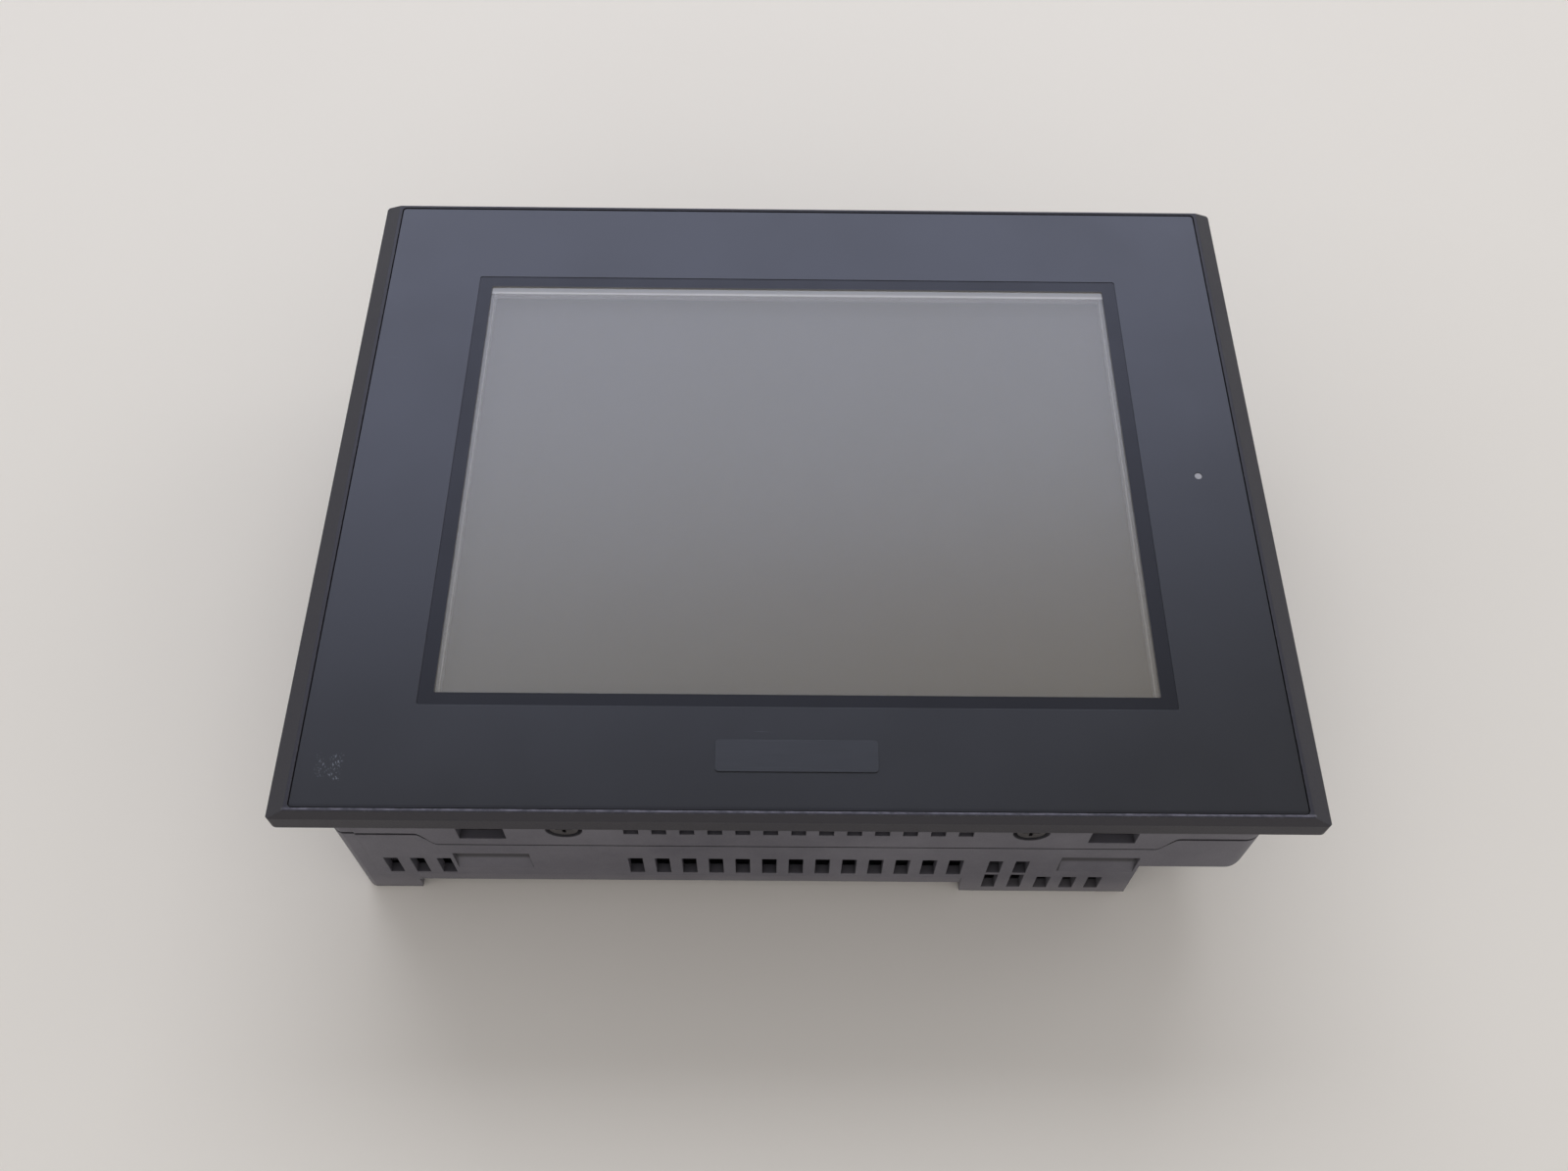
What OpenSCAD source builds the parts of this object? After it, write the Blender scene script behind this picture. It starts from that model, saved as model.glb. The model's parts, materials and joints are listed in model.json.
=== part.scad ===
// Panel-mount operator terminal with a touch screen, lying on its back.
// The origin is the middle of the rear rest plane: +X to the right, +Y to the
// top edge of the screen, +Z out of the screen. All sizes are millimetres.

/* [Front flange] */
// Width of the flange
flange_w = 215; // [214:0.5:216]
// Height of the flange
flange_h = 170; // [169:0.5:171]
// Thickness of the flange, from the panel it sits on to the lip
flange_t = 6.2; // [6:0.1:6.4]
// Radius of the flange's corners
flange_r = 1.6; // [1:0.1:3]
// Width of the bevel at the left and right edges
side_bevel = 3.9; // [3.5:0.1:4]
// Width of the bevel at the top and bottom edges
end_bevel = 1.1; // [0.8:0.1:1.2]

/* [Housing] */
// Whole depth, from the feet to the lip
depth = 60; // [60:0.5:62]
// Width of the body that goes through the panel
body_w = 203.5; // [203:0.1:204]
// Height of the body that goes through the panel
body_h = 157.5; // [157:0.1:158]
// Radius of the body's upright corners
body_r = 4.5; // [3:0.5:5]
// Radius of the left foot's outer lower edge
foot_r = 2.8; // [2.2:0.1:4]
// Radius of the shelf's outer lower edge
shelf_r = 4.8; // [3:0.1:5]
// Depth of the step that runs down the left corners and along the foot
step_d = 0.25; // [0.2:0.05:0.4]
// Gap between the two cases in the middle of the long sides
joint_gap = 0.5; // [0.3:0.05:0.6]
// Depth of the finger recesses
finger_d = 1.6; // [1:0.1:1.7]
// Wall thickness of both cases
wall = 2.2; // [2:0.1:2.4]
// Height of the rear recess between the feet
recess_z = 5.7; // [5:0.1:6]
// Height of the connector shelf
shelf_z = 18.2; // [18:0.1:19]
// Height of the joint between the cases in the middle of the long sides
seam_low = 28.9; // [28.5:0.1:29.3]
// Height of the joint between the cases at the corners
seam_high = 35; // [34:0.1:35.5]

/* [Screen] */
// Width of the front sheet
sheet_w = 204.7; // [204:0.1:204.7]
// Height of the front sheet
sheet_h = 166; // [165.5:0.1:166]
// Width of the black rim round the window
rim_w = 159.15; // [159:0.05:159.2]
// Height of the black rim round the window
rim_h = 119.6; // [119.4:0.1:119.8]
// Width of the clear window
window_w = 152.5; // [152:0.1:152.8]
// Height of the clear window
window_h = 113.6; // [113:0.1:114]
// Width of the lit area
active_w = 149.8; // [149:0.1:150]
// Height of the lit area
active_h = 112.3; // [112:0.1:112.6]

/* [Vents and slots] */
// Spacing of the cooling slots
vent_pitch = 6.03; // [6:0.01:6.1]
// Width of a cooling slot
vent_w = 3.2; // [3:0.1:3.4]
// Number of slots in each long row
vent_count = 13; // [9:2:13]
// Width of a slot for a panel fastener
hook_w = 10.2; // [9.5:0.1:10.6]
// Height of a slot for a panel fastener
hook_h = 10; // [9:0.1:10]

/* [Moving parts] */
// Diameter of the card door's pin
door_pin_d = 2; // [1.8:0.1:2.2]
// Radial clearance of the hinges
hinge_gap = 0.06; // [0.04:0.01:0.08]

/* [Hidden] */
$fn = 48;
e = 0.01;

top_z = depth;
flange_z = depth - flange_t;          // rear face of the flange
sheet_z = depth - 0.7;                // floor under the front sheet
front_in = depth - 3.2;               // inner face of the front wall
ledge_z = depth - 2.2;                // ledge that carries the touch glass
win_x = -0.35;                        // middle of the window
win_y = -0.25;
bx = body_w / 2;
by = body_h / 2;
ix = bx - wall;
iy = by - wall;
foot_x = -87.7;                       // inner edge of the left foot
block_x0 = 38.8;                      // power block
block_x1 = 77.7;
hook_z = 32.3;                        // lower edge of the fastener slots
hook_x = 68.5;
screw_x = 50.35;
screw_z = 37.5;
post_x = 94.5;                        // corner posts that join the cases
post_y = 71.5;
chassis_z = 48.2;
board_z = 27.4;                       // underside of the main board
power_z = 21;                         // underside of the power board

door_y = 34;                          // hinge axis of the card door
door_x = -100.3;
door_z0 = 16.8;
door_z1 = 30.8;
card_y = 6;                           // middle of the card slot
dip_y = -31.6;                        // middle of the DIP switch
dip_z = 24.2;
block_y = -40;                        // middle of the terminal block
serial_y = 26.8;                       // middle of the serial connector
tool_y = 60.5;                         // middle of the tool port
conn_x = 88.8;                        // line of the connectors
cover_ax = 97.4;                      // axis of the terminal cover
cover_az = 15.4;
tb_x0 = conn_x - 4.8;                 // terminal block
tb_x1 = conn_x + 6.4;

// rectangle with round corners
module rrect(w, h, r) {
  union() {
    square([w - 2 * r, h], center = true);
    square([w, h - 2 * r], center = true);
    for (sx = [-1, 1], sy = [-1, 1])
      translate([sx * (w / 2 - r), sy * (h / 2 - r)]) circle(r);
  }
}

// box given by its two corners
module slab(a, b) {
  translate(a) cube([b[0] - a[0], b[1] - a[1], b[2] - a[2]]);
}

// flat ring between two rectangles
module ring(ow, oh, iw, ih, z0, z1, ox = 0, oy = 0, px = 0, py = 0, r = 0.6) {
  difference() {
    translate([ox, oy, z0]) linear_extrude(z1 - z0) rrect(ow, oh, r);
    translate([px, py, z0 - 1]) linear_extrude(z1 - z0 + 2) rrect(iw, ih, 0.4);
  }
}

// prism along Y from a profile in X and Z
module along_y(points, y0, y1) {
  translate([0, y1, 0]) rotate([90, 0, 0]) linear_extrude(y1 - y0) polygon(points);
}

// prism along X from a profile in Y and Z
module along_x(points, x0, x1) {
  translate([x0, 0, 0]) rotate([90, 0, 90]) linear_extrude(x1 - x0) polygon(points);
}

// cylinder along Y
module pin_y(x, y0, y1, z, r) {
  translate([x, y0, z]) rotate([-90, 0, 0]) cylinder(r = r, h = y1 - y0);
}

// cylinder along X
module pin_x(x0, x1, y, z, r) {
  translate([x0, y, z]) rotate([0, 90, 0]) cylinder(r = r, h = x1 - x0);
}

// height of the joint between the cases at x, an S-curve near the corners
function ease(t) = t * t * (3 - 2 * t);
function seam_points(d) = concat(
  [[-120, seam_high + d]],
  [for (i = [0:8]) [-83 + i * 0.5, seam_high + d - (seam_high - seam_low) * ease(i / 8)]],
  [for (i = [0:8]) [79 + i * 0.5, seam_low + d + (seam_high - seam_low) * ease(i / 8)]],
  [[120, seam_high + d]]);

// everything above (front) or below (rear) the joint between the cases
module above_seam(d) {
  along_y(concat(seam_points(d), [[120, 90], [-120, 90]]), -100, 100);
}
module below_seam(d, g = 0) {
  along_y(concat([for (p = seam_points(d)) [p[0], p[1] - (abs(p[0]) > 81 ? g : 0)]], [[120, -20], [-120, -20]]), -100, 100);
}

// ---------------------------------------------------------------- front case

module vent_row(cx, z0, z1, n, w) {
  for (i = [0:n - 1])
    slab([cx + (i - (n - 1) / 2) * vent_pitch - w / 2, -90, z0],
      [cx + (i - (n - 1) / 2) * vent_pitch + w / 2, 90, z1]);
}

module flange_solid() {
  sx = flange_w / 2;
  sy = flange_h / 2;
  zs = top_z - 2.1;
  intersection() {
    along_y([[-sx, flange_z], [sx, flange_z], [sx - 0.3, zs], [sx - 0.3 - side_bevel, top_z],
      [-sx + 0.3 + side_bevel, top_z], [-sx + 0.3, zs]], -sy - 1, sy + 1);
    along_x([[-sy, flange_z], [sy, flange_z], [sy - 0.1, zs], [sy - end_bevel, top_z],
      [-sy + end_bevel, top_z], [-sy + 0.1, zs]], -sx - 1, sx + 1);
    translate([0, 0, flange_z - 1]) linear_extrude(10) rrect(flange_w, flange_h, flange_r);
  }
}

module front_bezel() color([0.25, 0.24, 0.25]) {
  difference() {
    union() {
      difference() {
        flange_solid();
        translate([0, 0, flange_z - 1]) linear_extrude(front_in - flange_z + 1) rrect(2 * ix, 2 * iy, 3);
      }
      // skirt that goes through the panel
      intersection() {
        translate([0, 0, 20]) linear_extrude(front_in - 20 + 1) rrect(body_w, body_h, body_r);
        above_seam(0);
        difference() {
          translate([0, 0, 19]) linear_extrude(60) square([230, 190], center = true);
          translate([0, 0, 19]) linear_extrude(front_in - 19) rrect(2 * ix, 2 * iy, 3);
        }
      }
      // posts for the rear screws
      for (sx = [-1, 1], sy = [-1, 1])
        translate([sx * post_x, sy * post_y, 30]) cylinder(r = 3.5, h = front_in - 30 + 0.5);
      // posts for the chassis plate
      for (sx = [-1, 1], sy = [-1, 1])
        translate([sx * 93.5, sy * 40, chassis_z + 1.2]) cylinder(r = 3.2, h = front_in - chassis_z - 1.2 + 0.5);
      // posts for the status light board
      for (sy = [-1, 1])
        translate([92, 0.1 + sy * 4.2, 52.2]) cylinder(r = 1.4, h = front_in - 52.2 + 0.5);
      // thickening behind the side screws
      for (sx = [-1, 1], sy = [-1, 1])
        pin_y(sx * screw_x, sy > 0 ? 75.35 : -77, sy > 0 ? 77 : -75.35, screw_z, 5.4);
    }
    // seat of the front sheet
    translate([0, 0, sheet_z]) linear_extrude(2) rrect(sheet_w + 0.4, sheet_h + 0.4, 1);
    // pocket of the touch panel
    translate([-0.3, -0.14, ledge_z]) linear_extrude(4) rrect(rim_w + 0.1, rim_h + 0.1, 0.6);
    // window
    translate([win_x, win_y, front_in - 2]) linear_extrude(8) rrect(154.2, 115.3, 0.5);
    // way out of the touch tail
    slab([-79.6, 19.6, front_in - 2], [-78.2, 36.4, ledge_z + 1]);
    // groove of the gasket
    difference() {
      translate([0, 0, flange_z - 1]) linear_extrude(2.6) rrect(210.4, 164.4, 4);
      translate([0, 0, flange_z - 2]) linear_extrude(6) rrect(204.4, 158.4, 3);
    }
    // status light
    translate([92, 0.1, front_in - 1]) cylinder(r = 0.9, h = 6);
    // shallow step down the left corners
    for (s = [-1, 1])
      slab([-110, s > 0 ? by - step_d : -by - 1, 30], [-95.9, s > 0 ? by + 1 : -by + step_d, flange_z]);
    // panel fasteners
    for (sx = [-1, 1])
      slab([sx * hook_x - hook_w / 2, -90, hook_z], [sx * hook_x + hook_w / 2, 90, hook_z + hook_h]);
    // cooling
    vent_row(0.2, 35.5, 44.5, vent_count, vent_w);
    // side screws
    for (sx = [-1, 1], sy = [-1, 1]) {
      pin_y(sx * screw_x, sy > 0 ? 76.75 : -90, sy > 0 ? 90 : -76.75, screw_z, 4);
      pin_y(sx * screw_x, sy > 0 ? 70 : -90, sy > 0 ? 90 : -70, screw_z, 1.7);
    }
    // pilot holes
    for (sx = [-1, 1], sy = [-1, 1]) {
      translate([sx * post_x, sy * post_y, 20]) cylinder(r = 1.25, h = 22);
      translate([sx * 93.5, sy * 40, 40]) cylinder(r = 1.25, h = 14.5);
    }
  }
}

module panel_gasket() color([0.1, 0.1, 0.1])
  difference() {
    translate([0, 0, flange_z - 0.8]) linear_extrude(2.4) rrect(210.3, 164.3, 3.9);
    translate([0, 0, flange_z - 2]) linear_extrude(6) rrect(204.5, 158.5, 3);
  }

module overlay_sheet() color([0.29, 0.3, 0.34])
  difference() {
    translate([0, 0, sheet_z]) linear_extrude(0.5) rrect(sheet_w, sheet_h, 0.8);
    translate([-0.3, -0.14, sheet_z - 1]) linear_extrude(3) rrect(rim_w + 0.04, rim_h + 0.04, 0.5);
    translate([92, 0.1, sheet_z - 1]) cylinder(r = 0.9, h = 3);
  }

module badge_plate() color([0.28, 0.3, 0.35])
  translate([-0.6, -71.1, sheet_z + 0.5]) linear_extrude(0.2) rrect(33.4, 7.1, 0.8);

module touch_rim_seal() color([0.13, 0.12, 0.16])
  ring(rim_w, rim_h, window_w, window_h, sheet_z + 0.1, sheet_z + 0.4, -0.3, -0.14, win_x, win_y);

module touch_film() color([0.6, 0.62, 0.64, 0.5])
  translate([-0.3, -0.14, sheet_z - 0.1]) linear_extrude(0.2) rrect(rim_w - 0.4, rim_h - 0.4, 0.6);

module touch_spacer() color([0.75, 0.75, 0.72])
  ring(rim_w - 0.4, rim_h - 0.4, 154.6, 115.7, sheet_z - 0.2, sheet_z - 0.1, -0.3, -0.14, win_x, win_y);

module touch_glass() color([0.7, 0.75, 0.75, 0.4])
  translate([-0.3, -0.14, ledge_z + 0.1]) linear_extrude(sheet_z - 0.2 - ledge_z - 0.1) rrect(rim_w - 0.4, rim_h - 0.4, 0.6);

module touch_tape() color([0.8, 0.8, 0.8])
  difference() {
    ring(rim_w - 0.3, rim_h - 0.3, 154.4, 115.5, ledge_z, ledge_z + 0.1, -0.3, -0.14, win_x, win_y);
    slab([-79.9, 19.6, ledge_z - 1], [-78.2, 36.4, ledge_z + 1]);
  }

module touch_tail() color([0.75, 0.5, 0.2]) {
  slab([-79.2, 21, front_in - 0.25], [-78.9, 35, ledge_z + 0.1]);
  slab([-90.2, 21, front_in - 0.25], [-78.9, 35, front_in - 0.05]);
  slab([-90.2, 21, board_z + 5.6], [-89.9, 35, front_in - 0.05]);
  slab([-91.6, 20, board_z + 1.6], [-88.4, 36, board_z + 5.6]);
}

module screen_cushion() color([0.2, 0.2, 0.2])
  difference() {
    ring(168, 128, 156.4, 117.5, front_in - 0.3, front_in, 0, 0, win_x, win_y);
    slab([-90, 20, front_in - 1], [-76, 36, front_in + 1]);
  }

module status_light_pipe() color([0.85, 0.87, 0.85]) {
  translate([92, 0.1, 54.2]) cylinder(r = 1.7, h = front_in - 54.2);
  translate([92, 0.1, front_in - 0.2]) cylinder(r = 0.85, h = sheet_z + 0.45 - front_in + 0.2);
}

module status_light_board() color([0.1, 0.35, 0.15]) {
  slab([88.4, -6.4, 51], [96.4, 6.6, 52.2]);
  slab([91.2, -0.7, 52.2], [92.8, 0.9, 53.4]);
}

// ------------------------------------------------------------- display module

module display_frame() color([0.75, 0.76, 0.76]) {
  difference() {
    slab([-88, -66, 50.4], [88, 66, front_in - 0.3]);
    slab([-87.2, -65.2, 49], [87.2, 65.2, front_in - 1.1]);
    translate([win_x, win_y, 40]) linear_extrude(40) rrect(151.4, 112.8, 0.4);
    slab([80, -64.5, 49], [89, -57, 54]);
  }
  difference() {
    ring(153.3, 114.5, 151.4, 112.8, front_in - 0.4, ledge_z - 0.15, win_x, win_y, win_x, win_y);
  }
}

module display_glass() color([0.45, 0.47, 0.48])
  translate([win_x, win_y, front_in - 2.7]) linear_extrude(1.6) square([158, 119], center = true);

module diffuser_sheet() color([0.9, 0.9, 0.9])
  translate([win_x, win_y, front_in - 3]) linear_extrude(0.3) square([158, 119], center = true);

module light_guide() color([0.85, 0.9, 0.92])
  slab([-80, -57.6, front_in - 6.4], [80, 60.5, front_in - 3]);

module display_tray() color([0.85, 0.85, 0.82])
  difference() {
    slab([-87.1, -65.1, chassis_z + 1.2], [87.1, 65.1, front_in - 1.1]);
    slab([-85.6, -63.6, front_in - 6.4], [85.6, 63.6, front_in]);
    slab([84, -63.6, front_in - 6.4], [90, -58, 54]);
  }

module backlight_lamp() color([0.95, 0.95, 0.9])
  pin_x(-80.5, 80.5, -60.6, 52.1, 1.3);

module lamp_holders() color([0.85, 0.85, 0.85])
  for (s = [-1, 1])
    difference() {
      slab([s > 0 ? 78.5 : -83.5, -63.4, front_in - 6.4], [s > 0 ? 83.5 : -78.5, -58, front_in - 3.1]);
      pin_x(-80.5, 80.5, -60.6, 52.1, 1.3);
    }

module lamp_cable() color([0.9, 0.4, 0.5]) {
  pin_x(83.5, 92, -60.6, 52.1, 0.8);
  translate([92, -60.6, 52.1]) sphere(0.8);
  translate([92, -60.6, 41]) cylinder(r = 0.8, h = 11.1);
  translate([92, -60.6, 41]) sphere(0.8);
  pin_x(34, 92, -60.6, 41, 0.8);
}

module inverter_board() color([0.1, 0.4, 0.2]) {
  slab([-32, -71, 44.5], [32, -56, 46]);
  slab([-20, -70, 37.5], [-4, -58, 44.5]);
  slab([4, -68, 39], [12, -60, 44.5]);
  slab([28, -65, 39], [34, -57, 44.5]);
  for (sx = [-1, 1]) translate([sx * 24, -63.5, 46]) cylinder(r = 2, h = chassis_z - 46);
}

module display_cable() color([0.9, 0.88, 0.8]) {
  slab([52, 38, 33], [72, 38.3, chassis_z + 1.2]);
  slab([51, 36.6, board_z + 1.6], [73, 39.8, 33]);
}

// ------------------------------------------------------------ chassis, boards

module board_outline(x0, x1) {
  union() {
    translate([x0, -63.5]) square([x1 - x0, 127]);
    translate([x0 + 9, -72]) square([x1 - x0 - 18, 144]);
  }
}

module chassis_plate() color([0.72, 0.73, 0.75])
  difference() {
    union() {
      translate([0, 0, chassis_z]) linear_extrude(1.2) board_outline(-97, 97);
      for (sx = [-1, 1], sy = [-1, 1]) {
        slab([sx * screw_x - 6, sy > 0 ? 71 : -75.3, chassis_z], [sx * screw_x + 6, sy > 0 ? 75.3 : -71, chassis_z + 1.2]);
        slab([sx * screw_x - 6, sy > 0 ? 74.1 : -75.3, 33], [sx * screw_x + 6, sy > 0 ? 75.3 : -74.1, chassis_z + 1.2]);
      }
    }
    // tapped holes of the side screws
    for (sx = [-1, 1], sy = [-1, 1])
      pin_y(sx * screw_x, sy > 0 ? 72 : -78, sy > 0 ? 78 : -72, screw_z, 1.25);
    // chassis screws and board spacers
    for (sx = [-1, 1], sy = [-1, 1])
      translate([sx * 93.5, sy * 40, 40]) cylinder(r = 1.6, h = 20);
    // openings for the cables
    slab([-98, 19, 40], [-88.5, 37, 60]);
    slab([50, 36.5, 40], [74, 40, 60]);
    slab([90.5, -63, 40], [98, -58, 60]);
    // weight-saving windows
    for (sx = [-1, 1]) slab([sx * 40 - 22, -30, 40], [sx * 40 + 22, 20, 60]);
  }

module chassis_screws() color([0.8, 0.8, 0.8])
  for (sx = [-1, 1], sy = [-1, 1]) translate([sx * 93.5, sy * 40, 0]) {
    cross_head(2.8, 1.8, chassis_z - 1.8);
    translate([0, 0, chassis_z - 0.2]) cylinder(r = 1.5, h = 6);
  }

// pan head with a cross recess in its lower face
module cross_head(r, h, z) {
  difference() {
    translate([0, 0, z]) cylinder(r = r, h = h);
    translate([-r * 0.55, -0.35, z - 1]) cube([r * 1.1, 0.7, 1.9]);
    translate([-0.35, -r * 0.55, z - 1]) cube([0.7, r * 1.1, 1.9]);
  }
}

spacer_at = [[-84, -68], [-40, -68], [79, -68], [-84, 68], [-40, 68], [79, 68]];

module main_board() color([0.08, 0.36, 0.2])
  difference() {
    translate([0, 0, board_z]) linear_extrude(1.6) board_outline(-97, 97);
    for (p = spacer_at) translate([p[0], p[1], 20]) cylinder(r = 1.6, h = 20);
  }

module board_chips() color([0.12, 0.12, 0.13]) {
  t = board_z + 1.6;
  slab([-14, -14, t], [14, 14, t + 3]);
  for (i = [0:2]) slab([-60, -34 + i * 18, t], [-46, -24 + i * 18, t + 2.2]);
  slab([-40, 30, t], [-18, 40, t + 2.5]);
  slab([30, -40, t], [44, -26, t + 2.2]);
  slab([60, -20, t], [76, -8, t + 2.2]);
  slab([-30, -50, t], [-12, -36, t + 3]);
  for (i = [0:1]) slab([-30 + i * 26, -46, board_z - 2.4], [-14 + i * 26, -30, board_z]);
  slab([-30, 20, board_z - 2.4], [10, 34, board_z]);
}

module heat_sink() color([0.78, 0.79, 0.8]) {
  t = board_z + 4.6;
  slab([-15, -15, t], [15, 15, t + 2]);
  for (i = [0:7]) slab([-15 + i * 4.1, -15, t + 1.9], [-13.7 + i * 4.1, 15, t + 10]);
}

module backup_battery() color([0.8, 0.8, 0.78])
  translate([-70, 50, board_z + 1.6]) {
    cylinder(r = 10, h = 3.2);
    slab([-11.5, -3, 0], [11.5, 3, 4]);
  }

module buzzer() color([0.1, 0.1, 0.1])
  translate([76, -40, board_z + 1.6])
    difference() {
      cylinder(r = 6, h = 7);
      translate([0, 0, 5]) cylinder(r = 1.2, h = 4);
    }

module board_spacers() color([0.8, 0.68, 0.35]) {
  for (p = spacer_at)
    difference() {
      translate([p[0], p[1], board_z + 1.6]) cylinder(r = 2.8, h = chassis_z - board_z - 1.6, $fn = 6);
      translate([p[0], p[1], board_z]) cylinder(r = 1.25, h = 9);
    }
  for (p = [[45, -52], [45, 52], [73, -52], [73, 52]])
    translate([p[0], p[1], power_z + 1.6]) cylinder(r = 2.4, h = board_z - power_z - 1.6);
}

module board_screws() color([0.8, 0.8, 0.8])
  for (p = spacer_at) translate([p[0], p[1], 0]) {
    cross_head(2.7, 1.7, board_z - 1.7);
    translate([0, 0, board_z - 0.2]) cylinder(r = 1.5, h = 8);
  }

module power_board() color([0.1, 0.38, 0.2])
  slab([42, -70, power_z], [75, 66, power_z + 1.6]);

module power_transformer() color([0.7, 0.6, 0.2]) {
  slab([46, -14, 4.5], [72, 12, power_z]);
  slab([44.5, -11, 7], [73.5, 9, 17.5]);
}

module power_capacitors() color([0.15, 0.2, 0.4]) {
  for (y = [-30, -44]) translate([57, y, 5]) cylinder(r = 6.2, h = power_z - 5);
  for (y = [24, 36]) translate([52, y, 8]) cylinder(r = 4.8, h = power_z - 8);
  translate([66, 30, 8]) cylinder(r = 4.8, h = power_z - 8);
}

module board_connector() color([0.9, 0.9, 0.85])
  slab([58, 54, power_z + 1.6], [68, 64, board_z]);

// ----------------------------------------------------------------- rear cover

// arc about (x, z) from angle a to angle b
function arc(x, z, r, a, b, n = 8) = [for (i = [0:n]) [x + r * cos(a + (b - a) * i / n), z + r * sin(a + (b - a) * i / n)]];

// profile of the rear cover, w inside its outer face
function rear_profile(w) = concat([[-bx + w, 60]],
  arc(-bx + foot_r + w * 0.4, foot_r + w * 0.4, foot_r - w * 0.6, 180, 270),
  arc(foot_x - w - 1.5, w + 1.5, 1.5, 270, 350, 5),
  [[foot_x - w, recess_z + w], [block_x0 + w - 0.4, recess_z + w], [block_x0 + w, w]],
  arc(block_x1 - w - 1, w + 1, 1, 270, 350, 4),
  [[block_x1 - w, shelf_z + w]],
  arc(bx - shelf_r - w * 0.4, shelf_z + shelf_r + w * 0.4, shelf_r - w * 0.6, 270, 360),
  [[bx - w, 60]]);

module card_door_opening(g) {
  slab([-110, -40.8 - g, door_z0 - g], [-98.5, door_y + 2.5, door_z1 + g]);
}

module rear_cover() color([0.27, 0.26, 0.26])
  difference() {
    union() {
      intersection() {
        along_y(rear_profile(0), -100, 100);
        translate([0, 0, -1]) linear_extrude(70) rrect(body_w, body_h, body_r);
        along_x([[-by, 60], [-by, 1.2], [-by + 0.8, 0], [by - 0.8, 0], [by, 1.2], [by, 60]], -150, 150);
        union() {
          below_seam(-joint_gap, 0.45);
          // tongue that reaches up inside the front case
          intersection() {
            below_seam(2.5);
            translate([0, 0, 20]) linear_extrude(30) rrect(2 * ix - 0.2, 2 * iy - 0.2, 3);
          }
        }
        difference() {
          translate([0, 0, -2]) linear_extrude(80) square([230, 190], center = true);
          difference() {
            union() {
              // wide hollow up to the joint, then the inside of the tongue
              intersection() {
                along_y(rear_profile(wall), -iy, iy);
                translate([0, 0, -1]) linear_extrude(70) rrect(2 * ix, 2 * iy, 3);
                below_seam(-2.5);
              }
              intersection() {
                along_y(rear_profile(wall), -iy + 1.4, iy - 1.4);
                translate([0, 0, -1]) linear_extrude(70) rrect(2 * ix - 2.8, 2 * iy - 2.8, 2);
              }
            }
          }
        }
      }
      // bosses of the rear screws
      for (sy = [-1, 1]) {
        translate([-post_x, sy * post_y, 1]) cylinder(r = 4.8, h = 14);
        translate([-post_x, sy * post_y, 1]) cylinder(r = 3.8, h = 28.9);
        translate([post_x, sy * post_y, shelf_z + 1]) cylinder(r = 4.8, h = 6);
        translate([post_x, sy * post_y, shelf_z + 1]) cylinder(r = 3.8, h = 28.9 - shelf_z);
      }
      // bosses of the expansion cover's screws
      for (x = [-56, -4]) translate([x, 0, recess_z + 1.4]) cylinder(r = 3.2, h = 7);
      // lugs that carry the card door's pin
      slab([-101, door_y - 2.6, door_z0 - 4.4], [-97.2, door_y + 2.6, door_z0 - 0.4]);
      slab([-101, door_y - 2.6, door_z1 + 0.4], [-97.2, door_y + 2.6, door_z1 + 3.2]);
      // hinge ears of the terminal cover
      for (s = [-1, 1])
        difference() {
          union() {
            slab([cover_ax - 2, block_y + s * 25.2 - 1.2, cover_az], [cover_ax + 2, block_y + s * 25.2 + 1.2, shelf_z + 1]);
            pin_y(cover_ax, block_y + s * 25.2 - 1.2, block_y + s * 25.2 + 1.2, cover_az, 2);
          }
          pin_y(cover_ax, block_y + s * 25.2 - 3, block_y + s * 25.2 + 3, cover_az, 1 + hinge_gap);
        }
    }
    // long rows of cooling slots in both long sides
    vent_row(-0.1, 12, 21, vent_count, vent_w + 0.1);
    // slots in the corners
    for (x = [-93, -87, -81]) slab([x, -90, 11.4], [x + vent_w, 90, 20.2]);
    for (x = [43.5, 49.5]) {
      slab([x, -90, 3.9], [x + 3.1, 90, 12.1]);
      slab([x, -90, 13.3], [x + 3.1, 90, 20.6]);
    }
    for (x = [55.7, 61.7, 67.6]) slab([x, -90, 3.7], [x + 3.2, 90, 10.8]);
    // bevel under the recess
    for (s = [-1, 1])
      along_x([[s * (by + 1), 10.2], [s * by, 10.2], [s * (by - 0.4), recess_z], [s * (by - 0.4), recess_z - 3], [s * (by + 1), recess_z - 3]],
        foot_x + 0.8, block_x0 - 0.4);
    // shallow step down the left corners and along the foot
    for (s = [-1, 1]) {
      slab([-110, s > 0 ? by - step_d : -by - 1, -1], [-95.9, s > 0 ? by + 1 : -by + step_d, 40]);
      slab([-96, s > 0 ? by - step_d : -by - 1, -1], [foot_x + 0.8, s > 0 ? by + 1 : -by + step_d, 9.9]);
    }
    // finger recesses that fade out downwards
    for (sx = [-1, 1], s = [-1, 1])
      along_x([[s * (by + 1), 23.3], [s * (by - finger_d), 23.3], [s * (by - finger_d), 22.2], [s * by, 14.4], [s * (by + 1), 14.4]],
        sx > 0 ? 59.4 : -76.9, sx > 0 ? 76.9 : -59.8);
    // slots in the rear face of the power block
    for (i = [0:5]) for (y = [-34, 34])
      slab([44.6 + i * 5, y - 13, -1], [47.4 + i * 5, y + 13, wall + 1]);
    // slots in the right side
    for (i = [0:5]) slab([95, 44 + i * vent_pitch - 1.6, 22.5], [110, 44 + i * vent_pitch + 1.6, 31]);
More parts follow.
